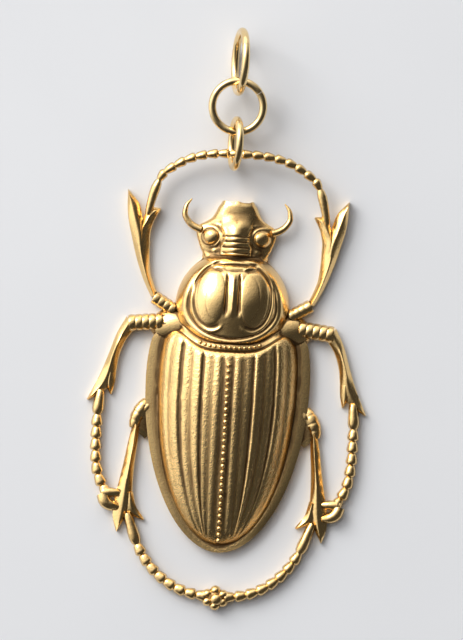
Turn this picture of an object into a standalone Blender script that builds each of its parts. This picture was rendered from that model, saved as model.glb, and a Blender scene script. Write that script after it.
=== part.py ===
"""Scarab amulet: a struck brass scarab with openwork legs, hung on three wire jump rings.

It lies on its hollow back, dome up, with its head towards +Y. The origin is in the middle of the box, at the
bottom.
"""

import bisect
import math

import bmesh
import bpy
from mathutils import Matrix, Vector

# Driving dimensions, in metres
SCARAB_LENGTH = 0.0581  # from the knob below the tail to the top of the forelegs' arc
DOME_HEIGHT = 0.0055  # of the wing cases, above the flat back
SHEET_WALL = 0.0008  # thickness of the struck sheet over the hollow
RIM_EDGE = 0.0009  # height of the body's outer edge
LEG_THICKNESS = 0.0013  # of the jointed feet, seen from the side
ARC_RISE = 0.0024  # how high the middle of the forelegs' arc is carried, so that a ring passes below it
RING_WIRE = 0.0010
SMALL_RING_ACROSS = 0.0069
MIDDLE_RING_ACROSS = 0.0074
TOP_RING_ACROSS = 0.0086
RING_LEAN = math.radians(10)  # of the two rings that stand on edge
MIDDLE_TILT = math.radians(6)  # of the ring that lies between them
LINK_GAP = 0.0002  # left between pieces that hang in each other
RINGS_X = -0.0008  # the rings hang a little to one side of the middle
MIDDLE_REST = 0.30  # how far below the small ring's centre the middle ring passes, as a share of its radius

# The carving is drawn in shares of the scarab's length: 58.1 shares, so that one share is 1 mm at full size
SHARE = SCARAB_LENGTH / 58.1

# Stations along the body, in shares from the middle of the wing cases
TAIL = -21.3
WIDEST = 0.5
COLLAR = 4.6
THORAX_MIDDLE = 9.6
NECK = 15.9
BROW = 23.0

# Half widths, in shares
CASES_HALF_WIDTH = 10.35
CASES_BRIM = 1.6
TAIL_BRIM = 0.9
THORAX_HALF_WIDTH = 7.2
THORAX_RIM = 1.5
HEAD_RIM = 0.8
CASES_FULLNESS = 2.0  # exponents of the tail's rounding
DOME_FULLNESS = 2.4
CASES_TAPER = 0.52
DOME_FLATNESS = 2.4  # exponent of the dome's cross section
SHOULDER = [(0.5, 10.35), (2.0, 10.3), (5.0, 9.9), (6.0, 9.3), (7.0, 7.4), (7.5, 7.15), (9.6, 7.2)]
HEAD = [(15.5, 4.15), (16.2, 4.15), (17.0, 4.5), (19.0, 5.05), (19.7, 4.85), (20.3, 3.9),
        (20.8, 3.2), (22.3, 2.4), (23.0, 2.0)]
SPINE = [(-21.3, 0.96), (-3.0, 1.0), (3.4, 0.93), (4.1, 0.83), (4.6, 0.87), (5.1, 0.83), (6.0, 0.88),
         (10.0, 0.97), (13.6, 0.84), (15.2, 0.66), (16.0, 0.55), (17.0, 0.56), (18.5, 0.58), (20.5, 0.50),
         (23.0, 0.33)]

# Grooves of one wing case, as shares of the dome's half width. The ribs are what stands between them
RIB_GROOVES = (0.08, 0.235, 0.37, 0.525, 0.665, 0.83)
GROOVE_REACH = 0.03
GROOVE_DEPTH = 0.3
COLLAR_GROOVE = 0.35
COLLAR_BOW = 2.8

SIDES = (-1, 1)
SLIVER = 2e-6  # edges shorter than this, where limbs cross, are closed up
RING_SEGMENTS = 20
WIRE_SIDES = 8


def smoothly(points, at):
    """The height at one place of a smooth curve through points that never overshoots them."""
    places = [place for place, _ in points]
    if at <= places[0]:
        return points[0][1]
    if at >= places[-1]:
        return points[-1][1]
    slopes = [(b[1] - a[1]) / (b[0] - a[0]) for a, b in zip(points, points[1:])]
    tangents = [slopes[0]] + [
        0.0 if before * after <= 0 else 2 * before * after / (before + after)
        for before, after in zip(slopes, slopes[1:])
    ] + [slopes[-1]]
    k = bisect.bisect_right(places, at) - 1
    (x0, y0), (x1, y1) = points[k], points[k + 1]
    span = x1 - x0
    t = (at - x0) / span
    return (
        y0 * (1 + 2 * t) * (1 - t) ** 2 + y1 * t * t * (3 - 2 * t)
        + span * t * (1 - t) * ((1 - t) * tangents[k] - t * tangents[k + 1])
    )


def hump(distance, width):
    """A smooth bump of height one and about that width."""
    return math.exp(-((distance / width) ** 2))


def half_width(y):
    """Half the body's width at a station."""
    if y < WIDEST:
        t = min((WIDEST - y) / (WIDEST - TAIL), 1.0)
        return CASES_HALF_WIDTH * (1 - t**CASES_FULLNESS) ** CASES_TAPER
    if y < THORAX_MIDDLE:
        return smoothly(SHOULDER, y)
    if y < HEAD[0][0]:
        return THORAX_HALF_WIDTH * math.sqrt(1 - ((y - THORAX_MIDDLE) / THORAX_HALF_WIDTH) ** 2)
    return smoothly(HEAD, y)


def rim_width(y):
    """How far the raised form stands in from the body's edge."""
    if y < WIDEST:
        narrowing = (CASES_BRIM - TAIL_BRIM) * smoothly([(0, 0), (20, 1)], WIDEST - y)
        return min(half_width(y) * 0.6, CASES_BRIM - narrowing)
    return smoothly([(WIDEST, CASES_BRIM), (5.5, THORAX_RIM), (NECK, THORAX_RIM), (17.5, HEAD_RIM)], y)


def bow(row, x):
    """How far a row of the carving bows towards the head at its sides: most at the collar."""
    strength = smoothly([(-2.0, 0.0), (COLLAR, 1.0), (7.0, 0.9), (12.0, 0.0)], row)
    return COLLAR_BOW * strength * (1 - hump(x**2, 5.8**2))


def cases_form(x, y):
    """Height of the wing cases' plain dome, from 0 at its foot to 1 at its crown."""
    foot = CASES_HALF_WIDTH - CASES_BRIM
    if y < WIDEST:
        along = ((WIDEST - y) / (WIDEST - TAIL - TAIL_BRIM)) ** DOME_FULLNESS
    else:
        along = 0.0
        foot = half_width(y) - rim_width(y)
    g = along + (abs(x) / foot) ** (1 / CASES_TAPER)
    return math.sqrt(max(0.0, 1 - g ** (DOME_FLATNESS * CASES_TAPER)))


def thorax_form(x, y):
    """Height of the thorax's plain dome, from 0 at its edge to 1 at its crown."""
    reach = (NECK + 2.6 - THORAX_MIDDLE) if y > THORAX_MIDDLE else 11.0
    r = math.hypot(x / half_width(y), 0.35 * (y - THORAX_MIDDLE) / reach)
    return max(0.0, 1 - min(r, 1.0) ** 2.4) ** 0.6


def head_form(x, y):
    """Height of the head's plain form: a raised nose between lower cheeks."""
    u = min(abs(x) / half_width(y), 1.0)
    return 0.62 * (1 - u**2.2) ** 0.7 + 0.38 * hump(x, 1.5)


def plain_top(x, row, y):
    """Height of the body above its back, in shares, without its carving."""
    edge = RIM_EDGE / SHARE
    crown = DOME_HEIGHT / SHARE * smoothly(SPINE, row)
    brim = edge + 0.35
    to_thorax = smoothly([(COLLAR - 0.7, 0), (COLLAR + 0.3, 1)], row)
    to_head = smoothly([(NECK - 0.6, 0), (NECK + 0.5, 1)], row)
    height = brim + (crown - brim) * cases_form(x, y) if to_thorax < 1 else 0.0
    if to_thorax > 0:
        height += (edge + (crown - edge) * thorax_form(x, y) - height) * to_thorax
    if to_head > 0:
        height += (edge + (crown - edge) * head_form(x, y) - height) * to_head
    return height


def carving(x, row, y):
    """What the carving adds to the plain form, in shares."""
    width = half_width(y)
    if row < COLLAR - 0.6:
        across = abs(x) / max(width - rim_width(y), 0.1)
        fade = smoothly([(-20.6, 0), (-18.5, 1), (3.0, 1), (3.8, 0)], row)
        gap = min(abs(across - groove) for groove in RIB_GROOVES)
        groove = GROOVE_DEPTH * max(0.0, 1 - gap / GROOVE_REACH) * fade * width / CASES_HALF_WIDTH
        roll = 0.25 * hump(abs(x) - width + 0.9, 0.5)
        return -groove if across < 0.94 else roll
    if row < COLLAR + 0.7:
        beads = 0.12 * hump(row - COLLAR, 0.2)
        return beads - COLLAR_GROOVE * (hump(abs(row - COLLAR) - 0.55, 0.16))
    if row < NECK - 0.3:
        shield = math.hypot(x / 5.2, (y - 10.2) / 4.3)
        lobe = math.hypot((abs(x) - 2.4) / 2.0, (y - 10.8) / 3.5)
        keel = hump(x, 0.3) * smoothly([(8.2, 0), (9.2, 1), (13.0, 1), (13.8, 0)], y)
        channel = hump(abs(x) - 0.55, 0.25) * smoothly([(7.5, 0), (9.0, 1), (13.0, 1), (14.2, 0)], y)
        return (
            -0.35 * hump(shield - 1, 0.1) + 0.35 * max(0.0, 1 - lobe**2) + 0.22 * keel - 0.22 * channel
        )
    eye = math.hypot(abs(x) - 3.25, y - 18.6)
    collar_rings = sum(hump(y - at, 0.22) for at in (16.5, 17.4, 18.2)) * hump(x, 1.8)
    return 0.9 * max(0.0, 1 - (eye / 1.45) ** 2) + 0.16 * collar_rings - 0.3 * hump(y - NECK - 0.1, 0.25)


def settle(row, share_across, inset=0.0):
    """Where a column of the carving crosses a bowed row. They are solved together: each moves the other."""
    y = row
    for _ in range(24):
        inner = half_width(y) - rim_width(y)
        if share_across <= 1:
            x = share_across * (inner - inset)
        else:
            x = inner + (share_across - 1) * rim_width(y)
        y = (y + row + bow(row, x)) / 2
    return x, y


# Modelling helpers: each makes or joins plain meshes, in metres
def finish(obj, name, colour, roughness):
    """Names an object and gives it its own metal."""
    obj.name = obj.data.name = name
    metal = bpy.data.materials.new(f"{name}_metal")
    metal.use_nodes = True
    shader = metal.node_tree.nodes["Principled BSDF"]
    shader.inputs["Base Color"].default_value = colour
    shader.inputs["Metallic"].default_value = 1.0
    shader.inputs["Roughness"].default_value = roughness
    obj.data.materials.clear()
    obj.data.materials.append(metal)
    obj.data.shade_smooth()
    obj.data.set_sharp_from_angle(angle=math.radians(35))
    return obj


def new_object(name, mesh, collection):
    obj = bpy.data.objects.new(name, mesh)
    collection.objects.link(obj)
    return obj


def relief_block(name, rows, columns, place, floor, collection):
    """A closed block: a grid on top, each corner put by place(row, column), and walls down to the floor."""
    bm = bmesh.new()
    bmesh.ops.create_grid(bm, x_segments=len(columns) - 1, y_segments=len(rows) - 1, size=1.0)
    for vert in bm.verts:
        column = columns[round((vert.co.x + 1) / 2 * (len(columns) - 1))]
        row = rows[round((vert.co.y + 1) / 2 * (len(rows) - 1))]
        vert.co = Vector(place(row, column)) * SHARE
    edges = [edge for edge in bm.edges if edge.is_boundary]
    walls = bmesh.ops.extrude_edge_only(bm, edges=edges)["geom"]
    for vert in (item for item in walls if isinstance(item, bmesh.types.BMVert)):
        vert.co.z = floor
    bmesh.ops.holes_fill(bm, edges=[edge for edge in bm.edges if edge.is_boundary], sides=0)
    bmesh.ops.remove_doubles(bm, verts=bm.verts, dist=1e-6)
    bmesh.ops.triangulate(bm, faces=bm.faces)
    bmesh.ops.recalc_face_normals(bm, faces=bm.faces)
    mesh = bpy.data.meshes.new(name)
    bm.to_mesh(mesh)
    bm.free()
    return new_object(name, mesh, collection)


def ball(name, centre, radii, collection, around=12, along=8):
    bm = bmesh.new()
    bmesh.ops.create_uvsphere(bm, u_segments=around, v_segments=along, radius=1.0)
    bmesh.ops.scale(bm, verts=bm.verts, vec=Vector(radii) * SHARE)
    bmesh.ops.translate(bm, verts=bm.verts, vec=Vector(centre) * SHARE)
    mesh = bpy.data.meshes.new(name)
    bm.to_mesh(mesh)
    bm.free()
    return new_object(name, mesh, collection)


def as_mesh(obj, collection):
    """The closed mesh of a curve object, which it replaces."""
    bpy.context.view_layer.update()
    mesh = bpy.data.meshes.new_from_object(obj.evaluated_get(bpy.context.evaluated_depsgraph_get()))
    bm = bmesh.new()
    bm.from_mesh(mesh)
    bmesh.ops.remove_doubles(bm, verts=bm.verts, dist=1e-6)
    bmesh.ops.triangulate(bm, faces=bm.faces)
    bmesh.ops.recalc_face_normals(bm, faces=bm.faces)
    bm.to_mesh(mesh)
    bm.free()
    made = new_object(obj.name, mesh, collection)
    bpy.data.objects.remove(obj)
    return made


def rod(name, points, collection):
    """A round rod through points of (x, y, z, radius), in shares."""
    curve = bpy.data.curves.new(name, "CURVE")
    curve.dimensions = "3D"
    curve.bevel_depth = SHARE
    curve.bevel_resolution = 2
    curve.use_fill_caps = True
    spline = curve.splines.new("POLY")
    spline.points.add(len(points) - 1)
    for point, (x, y, z, radius) in zip(spline.points, points):
        point.co = (x * SHARE, y * SHARE, z * SHARE, 1.0)
        point.radius = radius
    return as_mesh(new_object(name, curve, collection), collection)


def plate(name, outline, thickness, collection):
    """A flat plate with that outline, in shares, whose middle lies at the height of the leg's plane."""
    curve = bpy.data.curves.new(name, "CURVE")
    curve.dimensions = "2D"
    curve.fill_mode = "BOTH"
    curve.extrude = thickness / 2 * SHARE
    spline = curve.splines.new("POLY")
    spline.points.add(len(outline) - 1)
    for point, (x, y) in zip(spline.points, outline):
        point.co = (x * SHARE, y * SHARE, 0.0, 1.0)
    spline.use_cyclic_u = True
    made = as_mesh(new_object(name, curve, collection), collection)
    for vert in made.data.vertices:
        vert.co.z += lift(vert.co.y / SHARE) * SHARE
    return made


def combine(base, others, operation="UNION"):
    """Joins each of the others to base, or cuts it out, and removes it."""
    for other in others:
        boolean = base.modifiers.new(operation.title(), "BOOLEAN")
        boolean.operation = operation
        boolean.object = other
        bpy.context.view_layer.update()
        mesh = bpy.data.meshes.new_from_object(base.evaluated_get(bpy.context.evaluated_depsgraph_get()))
        base.modifiers.remove(boolean)
        base.data = mesh
        bpy.data.objects.remove(other)
    return base


# Paths of the legs
def lift(y):
    """Height of the legs' middle plane, in shares: flat, then rising to the middle of the forelegs' arc."""
    low = LEG_THICKNESS / SHARE / 2
    return smoothly([(10.0, low + 0.1), (KNEE_Y, low + 0.15), (ARC_TOP_Y, ARC_RISE / SHARE)], y)


def path_along(points):
    """The length of a path through points, and a function that gives the place at a distance along it."""
    lengths = [0.0]
    for a, b in zip(points, points[1:]):
        lengths.append(lengths[-1] + math.dist(a, b))
    xs = [(s, p[0]) for s, p in zip(lengths, points)]
    ys = [(s, p[1]) for s, p in zip(lengths, points)]
    return lengths[-1], lambda s: (smoothly(xs, s), smoothly(ys, s))


def jointed(points, joints, first, thick):
    """A bamboo-like foot: segments that flare towards their far ends, the first of them longer."""
    length, at = path_along(points)
    rest = (length - first) / (joints - 1)
    made = []
    start = 0.0
    for k in range(joints):
        end = first + rest * k
        for share, radius in ((0.06, WAIST), (0.94, FLARE)):
            x, y = at(start + (end - start) * share)
            made.append((x, y, lift(y), radius * thick / 2))
        start = end
    return made


def ringed(points, rings, thick, height):
    """A knuckle with rings turned into it."""
    length, at = path_along(points)
    steps = 2 * rings
    radii = [thick / 2 * (0.8 if k % 2 == 0 else 1.0) for k in range(steps + 1)]
    return [(*at(length * k / steps), height, radius) for k, radius in enumerate(radii)]


KNEE_Y = 11.0
ARC_TOP_Y = 28.9
STEP = 0.045  # limbs that join differ in height by this, so that no two of them meet edge on edge
WAIST = 0.7  # a foot's segment swells from this share of its thickness
FLARE = 1.08  # to this one
FORE_ARC_THICK = 1.15
FOOT_THICK = 1.35
FORE_KNUCKLE = [(7.2, 8.8), (9.9, 10.4)]
FORE_SHIN = [(9.9, 10.4, 0.62), (10.9, 13.0, 0.55), (11.4, 16.0, 0.55), (11.6, 19.0, 0.6), (11.6, 21.5, 0.6),
             (11.4, 22.6, 0.5)]
FORE_LEAF = [(9.4, 10.9), (10.4, 13.5), (10.75, 16.0), (10.7, 19.0), (10.35, 20.3), (9.6, 21.4), (10.5, 21.5),
             (11.3, 22.1), (12.0, 22.7), (12.9, 22.8), (14.05, 23.8), (13.9, 21.4), (13.6, 19.6),
             (13.2, 17.8), (12.5, 15.3), (11.7, 12.8), (10.7, 10.6)]
FORE_ARC = [(11.4, 21.8), (10.7, 24.2), (9.7, 25.8), (8.2, 27.0), (6.6, 27.9), (4.8, 28.5), (3.0, 28.8),
            (1.2, ARC_TOP_Y), (0.0, ARC_TOP_Y)]
MID_KNUCKLE = [(8.6, 7.4), (12.9, 6.9)]
MID_SHIN = [(12.6, 6.85, 0.85), (13.5, 5.9, 0.65), (14.3, 4.6, 0.68), (15.2, 2.2, 0.84), (15.8, -0.5, 0.95),
            (16.0, -2.0, 0.9), (16.0, -2.9, 0.6)]
MID_SPINES = [[(16.1, -0.4, 0.8), (17.0, -1.8, 0.5), (17.65, -3.1, 0.08)],
              [(15.6, -0.8, 0.6), (14.9, -1.8, 0.4), (14.3, -2.6, 0.08)]]
MID_FOOT = [(16.0, -2.4), (16.15, -5.0), (16.15, -8.0), (16.0, -10.5), (15.6, -12.4), (14.8, -14.0),
            (13.6, -15.2)]
MID_CLAWS = [((12.75, -14.5), 0.62), ((13.2, -16.1), 0.72)]
HIND_KNUCKLE = [(9.35, -2.65), (11.25, -6.15)]
HIND_SHIN = [(11.2, -6.0, 0.7), (11.45, -9.0, 0.65), (11.75, -12.0, 0.84), (11.95, -15.0, 0.9),
             (12.1, -17.0, 0.9), (11.6, -18.6, 0.6)]
HIND_SPINES = [[(12.1, -16.2, 0.7), (12.6, -18.0, 0.45), (12.9, -19.4, 0.08)],
               [(11.5, -15.8, 0.6), (10.4, -16.9, 0.4), (9.5, -17.6, 0.08)]]
HIND_WEB = [(9.0, -2.8), (10.5, -3.2), (11.3, -5.2), (10.2, -7.3), (8.6, -8.4)]
HIND_FOOT = [(11.7, -17.6), (10.2, -20.8), (8.9, -22.9), (7.0, -24.8), (5.0, -26.0), (3.2, -26.6),
             (1.0, -26.9)]
HORN = [(4.5, 19.2, 0.5), (5.3, 19.5, 0.45), (6.1, 20.1, 0.42), (6.65, 21.15, 0.36), (6.55, 22.1, 0.28),
        (5.85, 23.0, 0.08)]
HORN_HEIGHT = 1.3
KNOB = (0.0, -27.0, 0.8)
KNOB_RADII = (1.8, 1.6, 1.2)
SHOULDER_PLATE = (8.2, 6.9, 0.6)
SHOULDER_RADII = (2.2, 2.9, 1.2)


def reflected(points, side):
    return [(point[0] * side, *point[1:]) for point in points]


def body(collection):
    """The struck body: wing cases, collar, thorax and head, still solid."""
    tail_rows = [-21.3, -21.1, -20.5, -19.4, -17.6, -14.8, -11.0, -6.0, 0.5, 3.0]
    collar_rows = [3.75, 4.05, 4.35, 4.6, 4.85, 5.15, 5.6]
    thorax_rows = [6.2, 7.0, 8.2, 9.8, 11.4, 12.9, 14.0, 14.8, 15.5]
    head_rows = [16.0, 16.5, 16.95, 17.4, 17.8, 18.2, 18.9, 19.7, 20.6, 23.0]
    rows = tail_rows + collar_rows + thorax_rows + head_rows
    grooves = [groove + step * GROOVE_REACH for groove in RIB_GROOVES for step in (-1, 0, 1)]
    across = [0.0, *grooves, 0.95, 1.0, 1.5, 2.0]
    columns = [-share for share in reversed(across[1:])] + across

    def place(row, column):
        x, y = settle(row, abs(column))
        z = plain_top(x, row, y) + carving(x, row, y)
        return (math.copysign(x, column), y, max(z, 0.5 * RIM_EDGE / SHARE))

    return relief_block("scarab", rows, columns, place, -2 * RIM_EDGE, collection)


def hollow(collection):
    """What is missing behind the struck sheet: the plain form, one wall smaller."""
    wall = SHEET_WALL / SHARE
    rows = [TAIL + TAIL_BRIM + wall, -19.0, -17.5, -15.5, -13.0, -10.0, -6.5, -3.0, 0.5, 3.5, 4.4, 5.2, 7.0,
            9.5, 12.0, 14.0, 15.3, 16.4, 17.5, 19.0, 20.5, BROW - 1.2]
    across = [0.0, 0.2, 0.4, 0.58, 0.74, 0.88, 1.0]
    columns = [-share for share in reversed(across[1:])] + across

    def place(row, column):
        x, y = settle(row, abs(column), inset=wall)
        outward = x + wall * abs(column)
        z = min(plain_top(outward, row, y - wall), plain_top(outward, row, y + wall)) - wall - 0.2
        return (math.copysign(x, column), y, max(z, 0.15))

    cutter = relief_block("hollow_back", rows, columns, place, -4 * RIM_EDGE, collection)
    cutter.hide_render = True
    cutter.display_type = "WIRE"
    return cutter


def floor_cutter(collection):
    """The flat plane that the back is dressed to."""
    bm = bmesh.new()
    bmesh.ops.create_cube(bm, size=1.0)
    bmesh.ops.scale(bm, verts=bm.verts, vec=(2 * SCARAB_LENGTH, 2 * SCARAB_LENGTH, 0.2 * SCARAB_LENGTH))
    bmesh.ops.translate(bm, verts=bm.verts, vec=(0, 0, -0.1 * SCARAB_LENGTH))
    mesh = bpy.data.meshes.new("flat_back")
    bm.to_mesh(mesh)
    bm.free()
    cutter = new_object("flat_back", mesh, collection)
    cutter.hide_render = True
    cutter.display_type = "WIRE"
    return cutter


def foreleg(side, collection):
    knuckle = ringed(reflected(FORE_KNUCKLE, side), 4, 1.65, 0.85)
    shin = [(x, y, lift(y) + STEP, radius) for x, y, radius in reflected(FORE_SHIN, side)]
    return [
        rod("fore_knuckle", knuckle, collection),
        rod("fore_shin", shin, collection),
        plate("fore_leaf", reflected(FORE_LEAF, side), 0.6 * LEG_THICKNESS / SHARE, collection),
    ]


def fore_arc(collection):
    """Both forelegs' feet, which meet above the head and make one arc."""
    right = jointed(FORE_ARC, 7, 3.4, FORE_ARC_THICK)
    left = [(-x, y, z, radius) for x, y, z, radius in reversed(right)]
    return rod("fore_arc", right + left, collection)


def midleg(side, collection):
    low = lift(0)
    shin = [(x, y, low + STEP, radius) for x, y, radius in reflected(MID_SHIN, side)]
    pieces = [
        rod("mid_knuckle", ringed(reflected(MID_KNUCKLE, side), 5, 2.1, 0.95), collection),
        rod("mid_shin", shin, collection),
        rod("mid_foot", jointed(reflected(MID_FOOT, side), 6, 4.0, FOOT_THICK), collection),
    ]
    for spine in MID_SPINES:
        pieces.append(rod("spine", [(x, y, low - STEP, r) for x, y, r in reflected(spine, side)], collection))
    for (x, y), radius in MID_CLAWS:
        pieces.append(ball("claw", (x * side, y, low + 2 * STEP), (radius, radius, radius), collection, 8, 6))
    return pieces


def hindleg(side, collection):
    low = lift(0)
    shin = [(x, y, low + STEP, radius) for x, y, radius in reflected(HIND_SHIN, side)]
    pieces = [
        rod("hind_knuckle", ringed(reflected(HIND_KNUCKLE, side), 3, 1.7, 0.77), collection),
        plate("hind_web", reflected(HIND_WEB, side), 0.6 * LEG_THICKNESS / SHARE, collection),
        rod("hind_shin", shin, collection),
        rod("hind_foot", jointed(reflected(HIND_FOOT, side), 6, 3.6, FOOT_THICK), collection),
    ]
    for spine in HIND_SPINES:
        pieces.append(rod("spine", [(x, y, low - STEP, r) for x, y, r in reflected(spine, side)], collection))
    return pieces


def scarab(collection, cutters):
    """The whole struck piece: legs and horns joined to the body, then the back hollowed and dressed flat."""
    made = body(collection)
    for side in SIDES:
        plate_at = reflected([SHOULDER_PLATE], side)[0]
        combine(made, [ball("shoulder", plate_at, SHOULDER_RADII, collection)])
        combine(made, foreleg(side, collection) + midleg(side, collection) + hindleg(side, collection))
        horn = [(x, y, HORN_HEIGHT, radius) for x, y, radius in reflected(HORN, side)]
        combine(made, [rod("horn", horn, collection)])
    combine(made, [fore_arc(collection)])
    combine(made, [ball("knob", KNOB, KNOB_RADII, collection, 14, 8)])
    for cutter in (hollow(cutters), floor_cutter(cutters)):
        boolean = made.modifiers.new(cutter.name, "BOOLEAN")
        boolean.operation = "DIFFERENCE"
        boolean.object = cutter
    weld = made.modifiers.new("close slivers", "WELD")
    weld.merge_threshold = SLIVER
    return finish(made, "scarab", (0.62, 0.38, 0.12, 1.0), 0.38)


def ring(name, across, centre, turn, collection):
    """A closed ring of round wire."""
    bpy.ops.mesh.primitive_torus_add(
        major_segments=RING_SEGMENTS, minor_segments=WIRE_SIDES,
        major_radius=(across - RING_WIRE) / 2, minor_radius=RING_WIRE / 2,
    )
    made = bpy.context.object
    for owner in list(made.users_collection):
        owner.objects.unlink(made)
    collection.objects.link(made)
    made.matrix_world = Matrix.Translation(centre) @ turn
    return finish(made, name, (0.78, 0.55, 0.2, 1.0), 0.2)


def rings(collection):
    """Three jump rings pulled out in a line from the arc. Each hangs in the next, one gap away from it."""
    on_edge = Matrix.Rotation(RING_LEAN, 4, "Y") @ Matrix.Rotation(math.pi / 2, 4, "Y")
    lying = Matrix.Rotation(MIDDLE_TILT, 4, "X")
    wire = RING_WIRE / 2
    sizes = (SMALL_RING_ACROSS, MIDDLE_RING_ACROSS, TOP_RING_ACROSS)
    small, middle, top = ((across - RING_WIRE) / 2 for across in sizes)
    small_z = small * math.cos(RING_LEAN) + wire
    top_z = top * math.cos(RING_LEAN) + wire

    arc_radius = FORE_ARC_THICK * FLARE / 2 * SHARE
    arc_drop = (small_z - ARC_RISE) / math.cos(RING_LEAN)
    small_y = ARC_TOP_Y * SHARE + math.sqrt((small - wire - arc_radius - LINK_GAP) ** 2 - arc_drop**2)

    middle_low = small_z - MIDDLE_REST * small
    drop = (small_z - middle_low) / math.cos(RING_LEAN)
    near_y = small_y + math.sqrt((small - 2 * wire - LINK_GAP) ** 2 - drop**2)
    middle_y = near_y + middle * math.cos(MIDDLE_TILT)
    middle_z = middle_low + middle * math.sin(MIDDLE_TILT)
    far_y = middle_y + middle * math.cos(MIDDLE_TILT)
    far_drop = (top_z - middle_z - middle * math.sin(MIDDLE_TILT)) / math.cos(RING_LEAN)
    top_y = far_y + math.sqrt((top - 2 * wire - LINK_GAP) ** 2 - far_drop**2)

    return [
        ring("small_jump_ring", SMALL_RING_ACROSS, (RINGS_X, small_y, small_z), on_edge, collection),
        ring("middle_jump_ring", MIDDLE_RING_ACROSS, (RINGS_X, middle_y, middle_z), lying, collection),
        ring("top_jump_ring", TOP_RING_ACROSS, (RINGS_X, top_y, top_z), on_edge, collection),
    ]


def main():
    for obj in list(bpy.data.objects):
        bpy.data.objects.remove(obj)
    parts = bpy.data.collections.new("scarab_amulet")
    cutters = bpy.data.collections.new("cutters")
    for collection in (parts, cutters):
        bpy.context.scene.collection.children.link(collection)
    whole = [scarab(parts, cutters), *rings(parts)]

    bpy.context.view_layer.update()
    depsgraph = bpy.context.evaluated_depsgraph_get()
    corners = []
    for obj in whole:
        mesh = obj.evaluated_get(depsgraph).data
        corners += [obj.matrix_world @ vert.co for vert in mesh.vertices]
    middle = (max(c.y for c in corners) + min(c.y for c in corners)) / 2
    for obj in [*whole, *cutters.objects]:
        obj.location.y -= middle


main()
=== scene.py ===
import math

import bpy
import numpy as np
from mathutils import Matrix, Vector


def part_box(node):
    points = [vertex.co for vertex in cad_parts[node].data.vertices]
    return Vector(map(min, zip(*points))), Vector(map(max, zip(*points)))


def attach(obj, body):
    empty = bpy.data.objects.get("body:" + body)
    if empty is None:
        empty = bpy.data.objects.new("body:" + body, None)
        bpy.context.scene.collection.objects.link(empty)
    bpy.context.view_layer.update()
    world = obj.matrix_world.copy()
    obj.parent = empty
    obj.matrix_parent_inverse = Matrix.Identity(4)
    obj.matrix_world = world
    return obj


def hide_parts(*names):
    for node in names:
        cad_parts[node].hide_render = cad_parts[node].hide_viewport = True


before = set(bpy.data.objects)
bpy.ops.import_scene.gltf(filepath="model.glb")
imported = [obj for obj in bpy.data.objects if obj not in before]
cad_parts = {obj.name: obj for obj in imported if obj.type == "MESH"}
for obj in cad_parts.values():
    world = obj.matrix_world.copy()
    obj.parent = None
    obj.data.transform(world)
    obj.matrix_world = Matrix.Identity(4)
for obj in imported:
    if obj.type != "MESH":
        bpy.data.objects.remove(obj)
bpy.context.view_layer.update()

bpy.ops.object.select_all(action="DESELECT")

# STRUCK BODY
# Wing cases, collar, thorax and head are one thin brass sheet, struck from behind into a die, so the ribs, the
# beaded seam and the eyes stand up in front and the back is hollow. The back rim is dressed flat.
# Sizes are in millimetres. Stations run along the amulet from 0 at the middle of the wing cases, head upwards.
MM = 0.001
low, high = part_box("scarab")
STATION_ZERO = low.y + 28.6 * MM
TAIL, WIDEST, COLLAR, THORAX, NECK, BROW = -21.3, 0.5, 4.6, 9.6, 15.9, 23.0
RIM_EDGE, BRIM_RISE, BRIM_ROLL, CROWN, WALL, LOWEST = 0.9, 0.25, 0.1, 5.5, 0.8, 0.45
CASES_HALF, THORAX_HALF, CASES_BRIM, TAIL_BRIM = 10.35, 7.2, 1.6, 0.9
CASES_TAPER, DOME_FULLNESS, DOME_FLATNESS, DOME_POWER, DOME_FOOT = 0.52, 2.2, 1.85, 0.56, 0.03
SHOULDER = [(0.5, 10.35), (2.0, 10.3), (5.0, 9.9), (6.0, 9.3), (7.0, 7.4), (7.5, 7.15), (9.6, 7.2)]
HEAD = [(15.5, 4.15), (16.2, 4.15), (17.0, 4.5), (19.0, 5.05), (19.7, 4.85), (20.3, 3.9), (20.8, 3.2), (22.3, 2.4),
        (23.0, 2.0)]
# Height of the ridge along the middle, as a share of the crown
SPINE = [(-21.3, 0.80), (-14.0, 0.88), (-7.0, 0.955), (-1.0, 1.0), (3.4, 0.95), (4.1, 0.89), (4.6, 0.885),
         (5.1, 0.875), (6.0, 0.90), (10.0, 0.97), (13.6, 0.84), (15.2, 0.66), (16.0, 0.55), (17.0, 0.56),
         (18.5, 0.58), (20.5, 0.50), (22.3, 0.48), (23.0, 0.44)]
# Height of one wing case's carving across it, against millimetres from the seam at its widest
RIBS = [(0.0, -0.03), (0.3, -0.05), (0.5, -0.1), (0.7, -0.09), (0.95, -0.01), (1.2, 0.045), (1.45, 0.035),
        (1.7, -0.02), (1.95, -0.05), (2.2, -0.04), (2.5, -0.01), (2.8, -0.03), (3.05, -0.09), (3.2, -0.13),
        (3.34, -0.04), (3.5, 0.11), (3.72, 0.13), (4.15, 0.06), (4.4, 0.0), (4.62, -0.04), (4.9, -0.02),
        (5.15, 0.02), (5.4, 0.0), (5.65, -0.07), (5.9, -0.13), (6.08, -0.03), (6.3, 0.12), (6.55, 0.14),
        (6.95, 0.06), (7.2, -0.02), (7.4, -0.06), (7.62, -0.03), (7.9, 0.02), (8.15, 0.01), (8.4, -0.02),
        (8.75, -0.03)]


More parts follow.
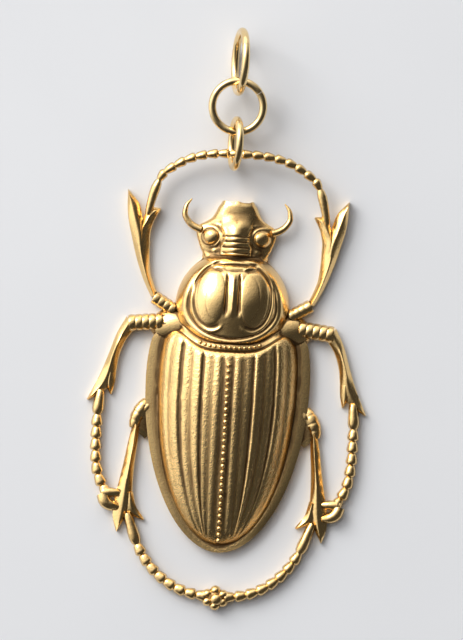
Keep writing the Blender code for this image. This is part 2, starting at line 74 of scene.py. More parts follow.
def smooth(points, at):
    """Heights of a smooth curve through points, which never overshoots them."""
    x, y = np.array(points, float).T
    slope = np.diff(y) / np.diff(x)
    before, after = slope[:-1], slope[1:]
    same_way = before * after > 0
    inner = np.where(same_way, 2 * before * after / np.where(same_way, before + after, 1), 0.0)
    tangent = np.concatenate((slope[:1], inner, slope[-1:]))
    at = np.clip(at, x[0], x[-1])
    k = np.clip(np.searchsorted(x, at, side="right") - 1, 0, len(x) - 2)
    span = x[k + 1] - x[k]
    t = (at - x[k]) / span
    return (y[k] * (1 + 2 * t) * (1 - t) ** 2 + y[k + 1] * t * t * (3 - 2 * t)
            + span * t * (1 - t) * ((1 - t) * tangent[k] - t * tangent[k + 1]))


def hump(distance, width):
    """A smooth bump of height 1 at distance 0."""
    return np.exp(-((distance / width) ** 2))


def ramp(at, start, end):
    """Rises smoothly from 0 at start to 1 at end."""
    t = np.clip((at - start) / (end - start), 0, 1)
    return t * t * (3 - 2 * t)


def half_width(y):
    """Half the width of the body's outline."""
    t = np.clip((WIDEST - y) / (WIDEST - TAIL), 0, 1)
    cases = CASES_HALF * (1 - t**2) ** CASES_TAPER
    thorax = THORAX_HALF * np.sqrt(np.clip(1 - ((y - THORAX) / THORAX_HALF) ** 2, 0, 1))
    return np.select([y < WIDEST, y < THORAX, y < HEAD[0][0]], [cases, smooth(SHOULDER, y), thorax], smooth(HEAD, y))


def rim_width(y):
    """Width of the plain brim inside the outline."""
    narrowing = (CASES_BRIM - TAIL_BRIM) * np.clip((WIDEST - y) / 20, 0, 1)
    behind = np.minimum(half_width(y) * 0.6, CASES_BRIM - narrowing)
    ahead = smooth([(WIDEST, CASES_BRIM), (5.5, 1.5), (NECK, 1.5), (17.5, 0.8)], y)
    return np.where(y < WIDEST, behind, ahead)


def bow(row, x):
    """How far a row of the carving bows towards the head at its sides: most at the collar."""
    strength = smooth([(-2.0, 0.0), (COLLAR, 1.0), (7.0, 0.9), (12.0, 0.0)], row)
    return 2.8 * strength * (1 - hump(x**2, 5.8**2))


def plain_top(x, row, y):
    """Height of the body above its back without its carving."""
    crown = CROWN * smooth(SPINE, row)
    width = np.maximum(half_width(y), 1e-3)
    foot = np.where(y < WIDEST, CASES_HALF - CASES_BRIM, width - rim_width(y))
    along = (np.clip(WIDEST - y, 0, None) / (WIDEST - TAIL - TAIL_BRIM)) ** DOME_FULLNESS
    g = along + (x / foot) ** (1 / CASES_TAPER)
    left = np.clip(1 - g ** (DOME_FLATNESS * CASES_TAPER), 0, None)
    cases = left**DOME_POWER * (1 - np.exp(-left / DOME_FOOT))
    reach = np.where(y > THORAX, NECK + 2.6 - THORAX, 11.0)
    circle = THORAX_HALF * np.sqrt(np.clip(1 - ((y - THORAX) / (THORAX_HALF + 0.6)) ** 2, 0.3, 1))
    shield = np.where(y < THORAX, np.minimum(width, circle), width)
    r = np.minimum(np.hypot(x / shield, 0.35 * (y - THORAX) / reach), 1)
    thorax = np.clip(1 - r**2.1, 0, None) ** 0.58
    u, brow = np.minimum(x / width, 1), ramp(y, 20.0, 21.5)
    head = 0.62 * np.clip(1 - u ** (2.2 + 2.5 * brow), 0, None) ** 0.7 + (0.38 - 0.25 * brow) * hump(x, 1.5)
    outside = np.clip((x - width + rim_width(y)) / rim_width(y), 0, 1)
    brim = RIM_EDGE + BRIM_RISE + BRIM_ROLL * (1 - outside**2) * ramp(y, -20.5, -16.0)
    height = brim + (crown - brim) * cases
    for form, start, end in ((thorax, COLLAR - 0.7, COLLAR + 0.3), (head, NECK - 0.6, NECK + 0.5)):
        height += (RIM_EDGE + (crown - RIM_EDGE) * form - height) * smooth([(start, 0), (end, 1)], row)
    return height


def cases_carving(x, row, y):
    """Ribs and grooves of the wing cases, which fade into the smooth shoulders and towards the tail."""
    inner = np.maximum(half_width(y) - rim_width(y), 0.3)
    narrowed = np.minimum(inner / (CASES_HALF - CASES_BRIM), 1)
    across = x
    for _ in range(12):  # the ribs beside the seam run straight down, the outer ones follow the outline
        across = 0.5 * (across + x / narrowed ** np.minimum((across / 4.2) ** 1.5, 1))
    fade = ramp(row, -20.2, -18.0) * (1 - ramp(row, 3.0, 3.9))
    fade = fade * (1 - 0.5 * ramp(across, 1.8, 2.6) * (1 - ramp(row, -18.5, -11.0)))
    fade = fade * (1 - 0.45 * ramp(across, 4.6, 5.4) * (1 - ramp(row, -13.0, -6.0)))
    return np.where(x < inner, smooth(RIBS, across) * fade, 0)


def thorax_carving(x, row, y):
    """A rolled rim, a groove inside it, a ridge curling round each lobe, the lobes and the keel between them."""
    shield = np.hypot(x / 6.1, (y - THORAX) / np.where(y > THORAX, 6.6, 4.3))
    ring = np.hypot((x - 2.55) / 2.62, (y - 10.7) / 4.2)
    lobe = np.hypot((x - 2.7) / 1.8, (y - 10.9) / 3.6)
    arc = np.hypot((x - 1.9) / 1.5, (y - 10.8) / 2.9)
    rim = 0.26 * hump(shield - 1.01, 0.08) - 0.16 * hump(shield - 0.905, 0.035)
    ridge = 0.12 * hump(ring - 1.0, 0.05) * ramp(x, 0.9, 1.6) - 0.1 * hump(ring - 0.88, 0.05) * ramp(x, 1.3, 2.1)
    dome = 0.27 * np.clip(1 - lobe**2, 0, 1) ** 0.6 - 0.035 * hump(arc - 1.0, 0.07) * ramp(x, 1.8, 2.6)
    upright = ramp(y, 8.2, 9.4) * (1 - ramp(y, 13.0, 14.2))
    keel = (0.2 * hump(x, 0.3) - 0.25 * hump(x - 0.8, 0.14 + 0.1 * (1 - ramp(y, 9.0, 13.0)))) * upright
    lips = 0.22 * hump(y - 15.45, 0.35) - 0.14 * hump(y - 14.95, 0.13) + 0.1 * hump(y - 14.6, 0.18) \
        - 0.08 * hump(y - 14.2, 0.16)
    return rim + ridge + dome + keel + lips * (1 - ramp(x, 2.3, 3.1))


def head_carving(x, row, y):
    """Nose column with turned rings, an eye in a ringed socket at each side, and the plain forehead plate."""
    standing = ramp(y, 16.0, 16.3) * (1 - ramp(y, 19.5, 20.9))
    column = 0.34 * np.sqrt(np.clip(1 - (x / 1.95) ** 2, 0, 1)) * standing - 0.05 * hump(x - 2.15, 0.22) * standing
    rings = sum(hump(y - at, 0.12) for at in (16.45, 17.15, 17.85, 18.5)) * (1 - ramp(x, 1.4, 1.9))
    eye = np.hypot(x - 3.3, y - 18.4)
    ball = 0.58 * np.clip(1 - (eye / 1.1) ** 2, 0, 1) ** 0.75
    socket = 0.08 * hump(eye - 1.25, 0.15) - 0.08 * hump(eye - 1.6, 0.13) + 0.06 * hump(eye - 1.95, 0.15)
    socket = socket * ramp(y, 16.7, 17.4) * (1 - ramp(y, 19.6, 20.3)) * (1 - ramp(x, 3.2, 4.0))
    neck = -0.18 * hump(y - 15.95, 0.15) * (1 - ramp(x, 2.2, 3.2))
    knobs = 0.13 * hump(np.hypot(x - 2.75, y - 16.6), 0.3)
    return column - 0.15 * rings + ball + socket - 0.04 * hump(eye - 1.0, 0.12) + neck + knobs


def settle(row, share, inset=0.0):
    """Where the columns of the carving cross its bowed rows."""
    y = row + 0 * share
    for _ in range(30):
        inner = half_width(y) - rim_width(y)
        x = np.where(share <= 1, share * (inner - inset), inner + (share - 1) * rim_width(y))
        y = 0.5 * (y + row + bow(row, x))
    return x, y


def grid(name, columns, rows):
    """A flat grid, with the column and the row of each of its points."""
    bpy.ops.mesh.primitive_grid_add(x_subdivisions=columns - 1, y_subdivisions=rows - 1, size=2)
    piece = bpy.context.object
    piece.name = piece.data.name = name
    place = np.empty(len(piece.data.vertices) * 3)
    piece.data.vertices.foreach_get("co", place)
    column, row = (np.rint((side + 1) / 2 * (count - 1)).astype(int)
                   for side, count in zip(place.reshape(-1, 3).T, (columns, rows)))
    return piece, column, row


def closed_up(piece):
    """Welds a new piece and turns its faces outwards."""
    bpy.ops.object.mode_set(mode="EDIT")
    bpy.ops.mesh.select_all(action="SELECT")
    bpy.ops.mesh.remove_doubles(threshold=1e-6)
    bpy.ops.mesh.quads_convert_to_tris()
    bpy.ops.mesh.normals_make_consistent(inside=False)
    bpy.ops.object.mode_set(mode="OBJECT")
    return piece


def walled(piece, x, y, z, foot):
    """Puts a grid's points in place, walls it down to the height of foot and closes it."""
    place = np.stack((x * MM, STATION_ZERO + y * MM, z * MM), 1)
    piece.data.vertices.foreach_set("co", place.ravel())
    piece.data.update()
    bpy.ops.object.mode_set(mode="EDIT")
    bpy.ops.mesh.select_all(action="SELECT")
    bpy.ops.mesh.region_to_loop()
    bpy.ops.mesh.extrude_edges_move()
    bpy.ops.transform.resize(value=(1, 1, 0), center_override=(0, 0, foot * MM))
    bpy.ops.mesh.edge_face_add()
    bpy.ops.object.mode_set(mode="OBJECT")
    return closed_up(piece)


def relief_block(name, rows, columns, height, inset=0.0):
    """A grid shaped by its rows and columns. The outer one has three notched teeth at the brow."""
    block, column, row = grid(name, len(columns), len(rows))
    column, row = columns[column], rows[row]
    x, y = settle(row, np.abs(column), inset)
    z = height(x, row, y, np.abs(column))
    if not inset:
        y = y + 0.16 * (hump(x, 0.35) + hump(x - 1.8, 0.3) - 1) * ramp(row, 22.2, BROW)
    return walled(block, np.sign(column) * x, y, z, -2)


def top(x, row, y, share):
    """Height of the carved body. Near the collar the carving stops for the collar's band."""
    carved = np.select([row < COLLAR - 0.62, row < COLLAR + 0.62, row < NECK - 0.3],
                       [cases_carving(x, row, y), 0 * x, thorax_carving(x, row, y)], head_carving(x, row, y))
    at_collar = ramp(row, 3.9, 4.1) * (1 - ramp(row, 5.1, 5.3))
    band = 0.06 * hump(row - COLLAR, 0.3) - 0.16 * hump(np.abs(row - COLLAR) - 0.5, 0.12)
    z = plain_top(x, row, y) + carved * (1 - at_collar) + band
    return np.maximum(z, LOWEST)


rows = np.unique(np.concatenate((
    TAIL + (1.0 - TAIL) * np.linspace(0, 1, 130) ** 1.25, np.linspace(1.0, 3.8, 22), np.linspace(3.8, 5.6, 26),
    np.linspace(5.6, 16.0, 92), np.linspace(16.0, BROW, 70))).round(4))
columns = np.concatenate((np.linspace(0, 1, 72), np.linspace(1.07, 2, 13)))
columns = np.concatenate((-columns[:0:-1], columns))
amulet = relief_block("amulet_scarab", rows, columns, top)

inside_rows = np.array([TAIL + TAIL_BRIM + WALL, -19.0, -17.5, -15.5, -13.0, -10.0, -6.5, -3.0, 0.5, 3.5, 4.4, 5.2,
                        7.0, 9.5, 12.0, 14.0, 15.3, 16.4, 17.5, 19.0, 20.5, BROW - 1.2])
inside_columns = np.array([-1, -0.88, -0.74, -0.58, -0.4, -0.2, 0, 0.2, 0.4, 0.58, 0.74, 0.88, 1.0])


def inside(x, row, y, share):
    """Height of the hollow back: one wall below the top, without its carving."""
    outward = x + WALL * share
    z = np.minimum(plain_top(outward, row, y - WALL), plain_top(outward, row, y + WALL)) - WALL - 0.25
    return np.maximum(z, 0.15)


hollow = relief_block("hollow", inside_rows, inside_columns, inside, inset=WALL)

# SEAM AND COLLAR BEADS
# Rows of tiny beads that the die cut into the seam between the wing cases and into the collar. They are joined to
# the body with the legs.
SEAM_BEADS, SEAM_START, SEAM_PITCH, SEAM_BEAD = 29, 2.4, 0.79, 0.32
COLLAR_BEADS, COLLAR_PITCH, COLLAR_BEAD = 6, 0.62, 0.25  # on each side of the middle


def height_at(x, row):
    """Top of the struck body at a place of a row."""
    y = row + bow(row, x)
    share = x / (half_width(y) - rim_width(y))
    return y, top(x, np.array(row, float), y, share)


def bead(x, y, z, radius):
    """A round bead, of which the upper part stands out of the body."""
    bpy.ops.mesh.primitive_ico_sphere_add(subdivisions=2, radius=radius * MM,
                                          location=(x * MM, STATION_ZERO + y * MM, z * MM))
    return bpy.context.object


beads = []
for k in range(SEAM_BEADS):
    y = SEAM_START - SEAM_PITCH * k
    beads.append(bead(0.0, y, float(height_at(np.array(0.0), y)[1]), SEAM_BEAD))
for k in range(-COLLAR_BEADS, COLLAR_BEADS + 1):
    x = COLLAR_PITCH * k
    y, z = height_at(np.array(abs(x)), COLLAR)
    beads.append(bead(x, float(y), float(z) + 0.02, COLLAR_BEAD))
bpy.ops.object.select_all(action="DESELECT")
for one in beads:
    one.select_set(True)
bpy.context.view_layer.objects.active = beads[0]
bpy.ops.object.join()
beads = bpy.context.object

# LEGS AND HORNS
# Six jointed legs and two horns, struck with the body. The shins are ridged blades with a spine at each side of
# the foot, the feet are jointed like bamboo, and the feet of the forelegs and of the hind legs meet in an arc.
LEG_PLANE, ARC_HEIGHT, PETALS = 0.65, 2.4, 6


def lift(y):
    """Height of a foot's middle: the feet of the forelegs rise to the arc."""
    return smooth([(10.0, LEG_PLANE + 0.1), (11.0, LEG_PLANE + 0.15), (28.9, ARC_HEIGHT)], y)


def track(points, at):
    """Points at shares of the length of a smooth path."""
    points = np.array(points, float)
    steps = np.hypot(*np.diff(points[:, :2], axis=0).T)
    far = np.concatenate(([0], np.cumsum(steps)))
    return np.stack([smooth(np.stack((far, side), 1), np.asarray(at) * far[-1]) for side in points.T], 1)


def rod(name, places, side=1, round_by=2):
    """A closed round rod through places of (x, y, z, radius)."""
    bpy.ops.curve.primitive_bezier_curve_add(location=(0, 0, 0))
    piece = bpy.context.object
    piece.name = name
    curve = piece.data
    curve.splines.clear()
    spline = curve.splines.new("POLY")
    spline.points.add(len(places) - 1)
    for point, (x, y, z, radius) in zip(spline.points, places):
        point.co = (side * x * MM, STATION_ZERO + y * MM, z * MM, 1)
        point.radius = radius
    curve.dimensions = "3D"
    curve.bevel_depth = MM
    curve.bevel_resolution = round_by
    curve.use_fill_caps = True
    bpy.ops.object.convert(target="MESH")
    return closed_up(bpy.context.object)


def jointed(points, joints, first, thick):
    """A foot like a string of long beads: the first joint's length is given and the others share the rest."""
    length = np.hypot(*np.diff(np.array(points, float), axis=0).T).sum()
    ends = np.concatenate(([0], first + (length - first) / (joints - 1) * np.arange(joints)))
    shares, radii = [], []
    for a, b in zip(ends, ends[1:]):
        for t, r in ((0.02, 0.62), (0.12, 0.8), (0.32, 0.9), (0.58, 1.02), (0.78, 1.06), (0.92, 0.9), (0.99, 0.64)):
            shares.append((a + (b - a) * t) / length)
            radii.append(r * thick / 2)
    places = track(points, shares)
    return [(x, y, lift(y), r) for (x, y), r in zip(places, radii)]


def ringed(points, rings, thick, height):
    """A knuckle with rings turned into it."""
    shares = np.linspace(0, 1, rings * 8 + 1)
    places = track(points, shares)
    turned = 0.91 + 0.09 * np.abs(np.sin(shares * rings * np.pi)) ** 0.5
    return [(x, y, height, thick / 2 * r) for (x, y), r in zip(places, turned)]


def blade(name, outer, ridge, inner, heights, side):
    """A ridged blade: its outer edge, its ridge and its inner edge, and how high each stands along it."""
    along, across = np.linspace(0, 1, 40), np.linspace(-1, 1, 15)
    piece, column, row = grid(name, len(across), len(along))
    out, mid, inn = (track(run, along)[row] for run in (outer, ridge, inner))
    u = across[column]
    far = np.abs(u)[:, None]
    x, y = (np.where(u[:, None] > 0, out, inn) * far + mid * (1 - far)).T
    low_edge, crest = track(np.array(heights), along)[row].T
    return walled(piece, side * x, y, low_edge + (crest - low_edge) * (1 - far[:, 0] ** 1.3), -1)


def egg(name, centre, radii, side=1):
    """A ball stretched to three radii."""
    x, y, z = centre
    bpy.ops.mesh.primitive_uv_sphere_add(segments=48, ring_count=24, radius=1,
                                         location=(side * x * MM, STATION_ZERO + y * MM, z * MM))
    piece = bpy.context.object
    piece.name = name
    piece.scale = Vector(radii) * MM
    bpy.ops.object.transform_apply(location=True, rotation=True, scale=True)
    return piece


def join(base, pieces, operation="UNION"):
    """Joins the pieces to base, or cuts them out, one after another."""
    bpy.context.view_layer.objects.active = base
    for piece in pieces:
        cut = base.modifiers.new("join", "BOOLEAN")
        cut.operation = operation
        cut.solver = "MANIFOLD"
        cut.object = piece
        bpy.ops.object.modifier_apply(modifier=cut.name)
        bpy.data.objects.remove(piece)
    return base


def foreleg(side):
    """Knuckle, leaf-shaped shin and the spine at its inner side."""
    outer = [(10.3, 10.4), (11.0, 11.7), (11.6, 13.0), (12.6, 15.8), (13.2, 18.0), (13.7, 20.0), (13.9, 21.6),
             (13.98, 23.75)]
    ridge = [(9.9, 10.5), (10.6, 11.9), (11.1, 13.2), (11.9, 16.0), (12.2, 18.0), (12.8, 20.0), (13.3, 21.6),
             (13.95, 23.7)]
    inner = [(9.5, 10.8), (10.1, 12.2), (10.6, 13.8), (10.8, 16.0), (10.85, 18.0), (11.9, 20.2), (12.4, 21.9),
             (13.88, 23.7)]
    tip_outer = [(12.1, 16.5), (12.2, 18.6), (11.7, 20.6), (11.0, 21.7), (9.78, 21.6)]
    tip_ridge = [(11.8, 16.2), (11.85, 18.6), (11.3, 20.0), (10.7, 20.9), (9.72, 21.52)]
    tip_inner = [(10.85, 16.0), (10.85, 18.0), (10.6, 19.5), (10.2, 20.5), (9.66, 21.42)]
    heights = [(0.7, float(lift(11.0)) + 0.5), (0.9, 1.7), (1.15, 1.95), (1.25, 1.9), (1.25, 1.6)]
    tip_heights = [(0.9, 1.6), (1.15, 1.95), (1.3, 1.9), (1.25, 1.6)]
    return [
        rod("fore_knuckle", ringed([(7.2, 8.8), (9.9, 10.4)], 4, 1.75, 0.9), side),
        blade("fore_leaf", outer, ridge, inner, heights, side),
        blade("fore_leaf_tip", tip_outer, tip_ridge, tip_inner, tip_heights, side),
    ]


def fore_arc():
    """The feet of both forelegs, which meet above the head."""
    arc = [(11.3, 20.6), (10.7, 23.4), (9.7, 25.8), (8.2, 27.0), (6.6, 27.9), (4.8, 28.5), (3.0, 28.8), (1.2, 28.9),
           (0.0, 28.9)]
    right = jointed(arc, 9, 4.6, 1.15)
    return rod("fore_arc", right + [(-x, y, z, r) for x, y, z, r in reversed(right)])


def midleg(side):
    """Knuckle, shin, inner spine, foot and two claws."""
    outer = [(13.2, 7.75), (14.3, 5.6), (15.2, 2.9), (16.0, 0.6), (16.6, -0.8), (17.62, -2.95)]
    ridge = [(12.8, 7.0), (13.8, 5.1), (14.7, 2.6), (15.2, 0.4), (15.8, -1.0), (17.55, -3.0)]
    inner = [(12.2, 6.1), (13.2, 4.6), (13.9, 2.4), (14.2, 0.2), (15.3, -1.6), (17.45, -3.05)]
    spine_outer = [(15.3, 1.0), (15.4, -0.6), (14.72, -2.15)]
    spine_ridge = [(14.8, 0.8), (14.9, -0.6), (14.6, -2.2)]
    spine_inner = [(14.1, 0.6), (14.2, -0.6), (14.5, -2.15)]
    foot = [(15.9, -1.6), (16.15, -5.0), (16.15, -8.0), (16.0, -10.5), (15.6, -12.4), (14.8, -14.0), (14.2, -14.9)]
    claws = [[(14.9, -14.6, 0.8, 0.7), (14.2, -14.5, 0.9, 0.66), (13.4, -14.5, 0.9, 0.55), (12.7, -14.5, 0.8, 0.35)],
             [(14.9, -14.8, 0.8, 0.78), (14.6, -15.6, 0.95, 0.8), (13.9, -16.1, 0.95, 0.72),
              (12.9, -16.3, 0.8, 0.4)]]
    return [
        rod("mid_knuckle", ringed([(8.6, 7.4), (12.9, 6.9)], 5, 2.15, 0.95), side, 3),
        blade("mid_shin", outer, ridge, inner, [(0.9, 1.6), (0.85, 1.45), (0.85, 1.6), (0.6, 0.95)], side),
        blade("mid_spine", spine_outer, spine_ridge, spine_inner, [(0.8, 1.25), (0.8, 1.3), (0.55, 0.8)], side),
        rod("mid_foot", jointed(foot, 8, 3.2, 1.42), side),
        *[rod("mid_claw", track(np.array(claw), np.linspace(0, 1, 9)), side) for claw in claws],
    ]


def hindleg(side):
    """Knee with its web to the body, shin, inner spine and foot."""
    outer = [(11.6, -5.4), (12.1, -8.0), (12.5, -10.5), (12.95, -13.0), (13.4, -15.5), (13.5, -17.2), (13.05, -19.2)]
    ridge = [(11.2, -5.8), (11.4, -8.0), (11.7, -10.5), (12.0, -13.0), (12.2, -15.5), (12.4, -17.2), (12.88, -19.4)]
    inner = [(10.8, -6.2), (10.9, -8.0), (11.1, -10.5), (11.2, -13.0), (11.2, -15.0), (11.8, -17.2), (12.8, -19.3)]
    spine_outer = [(12.0, -14.4), (11.9, -16.6), (9.75, -17.8)]
    spine_ridge = [(11.5, -14.4), (11.1, -16.4), (9.6, -17.7)]
    spine_inner = [(11.1, -14.2), (10.7, -15.9), (9.52, -17.6)]
    foot = [(11.7, -16.9), (10.2, -20.8), (8.9, -22.9), (7.0, -24.8), (5.0, -26.0), (3.2, -26.6), (1.0, -26.9)]
    web_outer = [(10.0, -2.2), (11.3, -3.9), (11.9, -5.4), (11.5, -6.6)]
    web_ridge = [(9.4, -2.6), (10.4, -4.2), (10.9, -5.6), (10.8, -6.8)]
    web_inner = [(8.6, -3.0), (8.8, -5.0), (9.2, -6.6), (10.1, -7.5)]
    knee = [(10.0, -2.7, 0.35, 0.6), (10.6, -3.6, 0.5, 0.85), (11.05, -4.5, 0.55, 0.9), (11.35, -5.4, 0.55, 0.8),
            (11.45, -6.2, 0.5, 0.65)]
    knee = track(np.array(knee), np.linspace(0, 1, 33))
    knee[:, 3] *= 0.93 + 0.07 * np.abs(np.sin(np.linspace(0, 1, 33) * 4 * np.pi)) ** 0.5
    return [
        rod("hind_knee", knee, side, 3),
        blade("hind_web", web_outer, web_ridge, web_inner, [(0.8, 1.1), (0.85, 1.25), (0.8, 1.2), (0.6, 0.8)], side),
        blade("hind_shin", outer, ridge, inner, [(0.85, 1.4), (0.8, 1.3), (0.85, 1.5), (0.85, 1.6), (0.6, 0.95)], side),
        blade("hind_spine", spine_outer, spine_ridge, spine_inner, [(0.8, 1.35), (0.8, 1.25), (0.55, 0.8)], side),
        rod("hind_foot", jointed(foot, 9, 4.2, 1.4), side),
    ]


def horn(side):
    """A thin hook that curls inwards above the eye."""
    points = [(4.5, 19.2, 1.3, 0.5), (5.3, 19.5, 1.3, 0.47), (6.1, 20.1, 1.3, 0.42), (6.65, 21.15, 1.3, 0.36),
              (6.5, 22.1, 1.3, 0.28), (5.85, 23.0, 1.3, 0.08)]
    return rod("horn", track(points, np.linspace(0, 1, 24)), side)


def knob():
    """A small rosette where the hind feet meet: one bead in the middle of six petals."""
    petals = [egg("knob", (0.0, -27.0, 0.6), (1.35, 1.25, 0.9))]
    for k in range(PETALS):
        turn = 2 * math.pi * (k + 0.5) / PETALS
        petals.append(egg("petal", (1.1 * math.cos(turn), -27.0 + 0.95 * math.sin(turn), 0.75), (0.68, 0.62, 0.8)))
    petals.append(egg("knob_bead", (0.15, -27.15, 1.35), (0.75, 0.72, 0.55)))
    return petals


limbs = fore_arc()
for side in (-1, 1):
    shoulder = egg("shoulder", (6.0, 6.9, 0.2), (4.3, 2.5, 1.95), side)
    join(limbs, [shoulder, *foreleg(side), *midleg(side), *hindleg(side), horn(side)])
join(limbs, [*knob(), beads])
join(amulet, [limbs])

bpy.ops.mesh.primitive_cube_add(size=0.1, location=(0, 0, -0.05))
flat_back = bpy.context.object
join(amulet, [hollow, flat_back], "DIFFERENCE")


def recess(mesh, rounds):
    """Each point's place, which way it faces, and how far it lies below the mean of its surroundings, in metres."""
    count = len(mesh.vertices)
    place, facing = np.empty(count * 3), np.empty(count * 3)
    mesh.vertices.foreach_get("co", place)
    mesh.vertices.foreach_get("normal", facing)
    place, facing = place.reshape(-1, 3), facing.reshape(-1, 3)
    ends = np.empty(len(mesh.edges) * 2, int)
    mesh.edges.foreach_get("vertices", ends)
    start, end = ends.reshape(-1, 2).T
    near = np.maximum(np.bincount(ends, minlength=count), 1)
    mean = place
    for _ in range(rounds):
        mean = np.stack([(np.bincount(start, axis[end], count) + np.bincount(end, axis[start], count)) / near
                         for axis in mean.T], 1)
    return place, facing, np.einsum("ij,ij->i", mean - place, facing)


# FLANK_PAINTED_SHADE: how much painted shade the steep flanks of the legs get, added on top of the recess patina
RECESS_ROUNDS, FLANK_PAINTED_SHADE, PLAIN_STIPPLE = 14, 0.03, 0.25
place, facing, below = recess(amulet.data, RECESS_ROUNDS)
x, y = np.abs(place[:, 0]) / MM, (place[:, 1] - STATION_ZERO) / MM
past_foot = x - half_width(y) + rim_width(y)
limb = np.maximum(ramp(x - half_width(y), -0.3, 0.0), ramp(y, 23.0, 23.3))
# Painted shade: slopes of the legs that face away from straight up are darkened, as shade would darken them
flank_painted_shade = FLANK_PAINTED_SHADE * limb * ramp(0.8 - facing[:, 2], 0.0, 0.6)
wiped_foot = 0.85 * hump(past_foot, 0.35) * (y < 3.6)
on_cases = ramp(-past_foot, -0.3, 0.3) * (1 - ramp(y - bow(y, x), 3.6, 4.2))
# The recess attribute holds the patina in the hollows and the painted shade on the legs' steep flanks
for name, values in (("recess", below / MM * (1 - wiped_foot) + flank_painted_shade),
                     ("stipple", PLAIN_STIPPLE + (1 - PLAIN_STIPPLE) * on_cases)):
    amulet.data.attributes.new(name, "FLOAT", "POINT").data.foreach_set("value", values)

# Antique brass of the struck amulet: satin brass that was dipped dark, then wiped bright on everything that stands
# proud.
# The dip stays in the grooves, in faint clouds, and as fine grains, which the die gave the wing cases most of all.
# The steep flanks of the legs are darkened too, as painted shade.
brass = bpy.data.materials.new("antique_brass")
brass.use_nodes = True
nodes, links = brass.node_tree.nodes, brass.node_tree.links
shader = nodes["Principled BSDF"]
shader.inputs["Metallic"].default_value = 1.0
where = nodes.new("ShaderNodeTexCoord")


def noise(nodes, links, where, scale, detail=2.0):
    """Noise on the piece's own place, at a scale per metre."""
    made = nodes.new("ShaderNodeTexNoise")
    made.inputs["Scale"].default_value = scale
    made.inputs["Detail"].default_value = detail
    links.new(where.outputs["Object"], made.inputs["Vector"])
    return made.outputs["Fac"]


def blend(nodes, links, amount, low, high):
    """Runs from low to high as amount, a socket, runs over a range."""
    made = nodes.new("ShaderNodeMapRange")
    made.interpolation_type = "SMOOTHSTEP"
    links.new(amount, made.inputs["Value"])
    made.inputs["From Min"].default_value, made.inputs["From Max"].default_value = low
    made.inputs["To Min"].default_value, made.inputs["To Max"].default_value = high
    return made.outputs["Result"]


def sum_of(nodes, links, *amounts):
    """Adds sockets."""
    total = amounts[0]
    for amount in amounts[1:]:
        made = nodes.new("ShaderNodeMath")
        made.operation = "ADD"
        links.new(total, made.inputs[0])
        links.new(amount, made.inputs[1])
        total = made.outputs[0]
    return total


# Reads the recess attribute: patina in the hollows plus painted shade on the legs' steep flanks
recess_and_painted_shade = nodes.new("ShaderNodeAttribute")
recess_and_painted_shade.attribute_name = "recess"
clouds = noise(nodes, links, where, 420, 3.0)
grains = noise(nodes, links, where, 6500)
# How dark the brass is: patina in the hollows, clouds and grains, with the painted flank shade in it
dip_and_painted_shade = sum_of(nodes, links, blend(nodes, links, recess_and_painted_shade.outputs["Fac"], (-0.02, 0.05), (-0.1, 0.9)),
                blend(nodes, links, clouds, (0.4, 0.75), (0.0, 0.22)),
                blend(nodes, links, grains, (0.45, 0.8), (0.0, 0.3)))
colour = nodes.new("ShaderNodeValToRGB")
colour.color_ramp.elements.new(0.45)
wiped_half_dark = (0.90, 0.62, 0.27), (0.60, 0.39, 0.165), (0.18, 0.11, 0.05)
for element, shade in zip(colour.color_ramp.elements, wiped_half_dark):
    element.color = (*shade, 1)
links.new(dip_and_painted_shade, colour.inputs["Fac"])
links.new(colour.outputs["Color"], shader.inputs["Base Color"])
links.new(blend(nodes, links, dip_and_painted_shade, (0.0, 1.0), (0.21, 0.44)), shader.inputs["Roughness"])
rough = nodes.new("ShaderNodeAttribute")
rough.attribute_name = "stipple"
bump = nodes.new("ShaderNodeBump")
bump.inputs["Distance"].default_value = 0.00005
links.new(sum_of(nodes, links, grains, noise(nodes, links, where, 2600)), bump.inputs["Height"])
links.new(rough.outputs["Fac"], bump.inputs["Strength"])
links.new(bump.outputs["Normal"], shader.inputs["Normal"])


def dressed(piece, material):
    """Applies where a piece was put, gives it its material and shades it smooth up to sharp edges."""
    bpy.ops.object.select_all(action="DESELECT")
    piece.select_set(True)
    bpy.context.view_layer.objects.active = piece
    bpy.ops.object.transform_apply(location=True, rotation=True, scale=True)
    bpy.ops.object.shade_smooth_by_angle(angle=math.radians(50))
    piece.data.materials.clear()
    piece.data.materials.append(material)


dressed(amulet, brass)
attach(amulet, "root")
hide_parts("scarab")

# JUMP RINGS
# Three rings of round brass wire, each bent to a circle and closed: a fine line shows where the ends meet. Two
# stand on edge and lean a little, and the middle one lies through both.
RING_WIRE, RING_ROOM, RING_CUT = 0.985, 1.0, 0.04  # the wire is a hair thinner than its room in the frame
ON_EDGE, LYING = (0, math.pi / 2 + math.radians(10), 0), (math.radians(6), 0, 0)
polished = bpy.data.materials.new("polished_brass")
polished.use_nodes = True
nodes, links = polished.node_tree.nodes, polished.node_tree.links
shader = nodes["Principled BSDF"]
shader.inputs["Metallic"].default_value = 1.0
where = nodes.new("ShaderNodeTexCoord")
clouds = noise(nodes, links, where, 900, 3.0)
colour = nodes.new("ShaderNodeValToRGB")
colour.color_ramp.elements[0].color = (0.84, 0.59, 0.27, 1)
colour.color_ramp.elements[1].color = (0.95, 0.74, 0.40, 1)
links.new(clouds, colour.inputs["Fac"])
links.new(colour.outputs["Color"], shader.inputs["Base Color"])
links.new(blend(nodes, links, clouds, (0.3, 0.7), (0.12, 0.22)), shader.inputs["Roughness"])

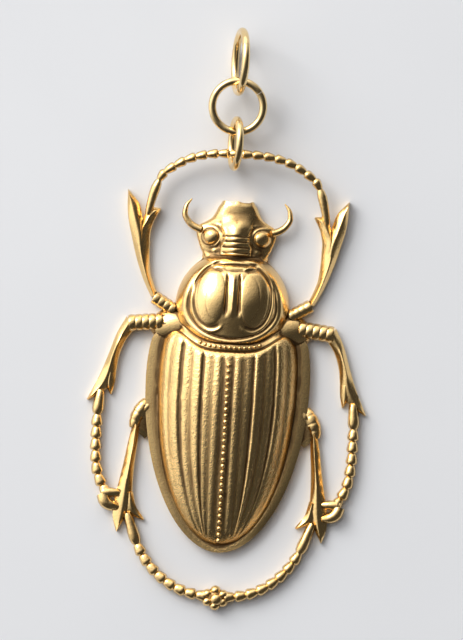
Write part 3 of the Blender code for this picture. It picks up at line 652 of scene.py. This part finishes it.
for name, across, turn, cut_at in (("small_jump_ring", 6.9, ON_EDGE, 200), ("middle_jump_ring", 7.4, LYING, 35),
                                   ("top_jump_ring", 8.6, ON_EDGE, 150)):
    low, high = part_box(name)
    radius = (across - RING_ROOM) / 2
    bpy.ops.mesh.primitive_torus_add(major_segments=120, minor_segments=28, major_radius=radius * MM,
                                     minor_radius=RING_WIRE / 2 * MM)
    ring = bpy.context.object
    ring.name = ring.data.name = name.replace("jump_ring", "wire_ring")
    bpy.ops.mesh.primitive_cube_add(size=1)
    cut = bpy.context.object
    cut.scale = (2 * MM, RING_CUT * MM, 2 * MM)
    angle = math.radians(cut_at)
    cut.rotation_euler.z = angle
    cut.location = (radius * math.cos(angle) * MM, radius * math.sin(angle) * MM, 0)
    join(ring, [cut], "DIFFERENCE")
    ring.rotation_euler = turn
    ring.location = (low + high) / 2
    dressed(ring, polished)
    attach(ring, "root")
    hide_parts(name)

# TABLE AND LIGHT
# A pale lavender-grey board under a bright window to the left, with a dark room to the right of it, so that every
# slope that faces right goes brown.
bpy.ops.mesh.primitive_plane_add(size=1.2, location=(0, 0, 0))
floor = bpy.context.object
floor.name = floor.data.name = "pale_board"
board = bpy.data.materials.new("pale_board")
board.use_nodes = True
nodes, links = board.node_tree.nodes, board.node_tree.links
where = nodes.new("ShaderNodeTexCoord")
colour = nodes.new("ShaderNodeValToRGB")
colour.color_ramp.elements[0].color = (0.76, 0.78, 0.82, 1)
colour.color_ramp.elements[1].color = (0.81, 0.83, 0.87, 1)
links.new(noise(nodes, links, where, 35), colour.inputs["Fac"])
links.new(colour.outputs["Color"], nodes["Principled BSDF"].inputs["Base Color"])
nodes["Principled BSDF"].inputs["Roughness"].default_value = 0.8
floor.data.materials.append(board)

world = bpy.data.worlds.new("room")
bpy.context.scene.world = world
world.use_nodes = True
nodes, links = world.node_tree.nodes, world.node_tree.links
toward = nodes.new("ShaderNodeTexCoord")
to_window = nodes.new("ShaderNodeVectorMath")
to_window.operation = "DOT_PRODUCT"
to_window.inputs[1].default_value = (-0.68, 0.73, 0.0)
links.new(toward.outputs["Generated"], to_window.inputs[0])
walls = nodes.new("ShaderNodeValToRGB")
walls.color_ramp.interpolation = "EASE"
# Brightness from the dark wall, at 0, over straight up, at 0.5, to the window's wall, at 1
levels = [(0.0, 0.05), (0.12, 0.035), (0.32, 0.03), (0.44, 0.04), (0.5, 0.17), (0.6, 0.34), (0.72, 0.78), (0.85, 1.05)]
for at, _ in levels[1:-1]:
    walls.color_ramp.elements.new(at)
for element, (at, level) in zip(walls.color_ramp.elements, levels):
    element.position = at
    element.color = (level, level * 0.985, level * 0.97, 1)
spread = nodes.new("ShaderNodeMapRange")
spread.inputs["From Min"].default_value = -1.0
links.new(to_window.outputs["Value"], spread.inputs["Value"])
links.new(spread.outputs["Result"], walls.inputs["Fac"])
links.new(walls.outputs["Color"], nodes["Background"].inputs["Color"])
nodes["Background"].inputs["Strength"].default_value = 1.8
bpy.context.scene.view_settings.view_transform = "Standard"

window_place = Vector((-0.42, 0.40, 0.42))
bpy.ops.object.light_add(type="AREA", location=window_place)
window = bpy.context.object
window.name = "window"
window.data.shape = "SQUARE"
window.data.size = 0.40
window.data.energy = 3.0
window.data.color = (1.0, 0.98, 0.94)
window.rotation_euler = (-window_place).to_track_quat("-Z", "Y").to_euler()

# The camera looks straight down. The amulet leans a little to the right in the view.
VIEW_HEIGHT, CAMERA_HEIGHT, LEAN, SENSOR = 0.0807, 0.6, math.radians(3.4), 24.0
camera_data = bpy.data.cameras.new("camera")
camera = bpy.data.objects.new("camera", camera_data)
bpy.context.collection.objects.link(camera)
camera_data.sensor_fit = "VERTICAL"
camera_data.sensor_height = SENSOR
camera_data.clip_start = 0.01
camera_data.lens = SENSOR * CAMERA_HEIGHT / VIEW_HEIGHT
camera.location = (0.0, 0.0, CAMERA_HEIGHT)
camera.rotation_euler = (0.0, 0.0, LEAN)
bpy.context.scene.camera = camera
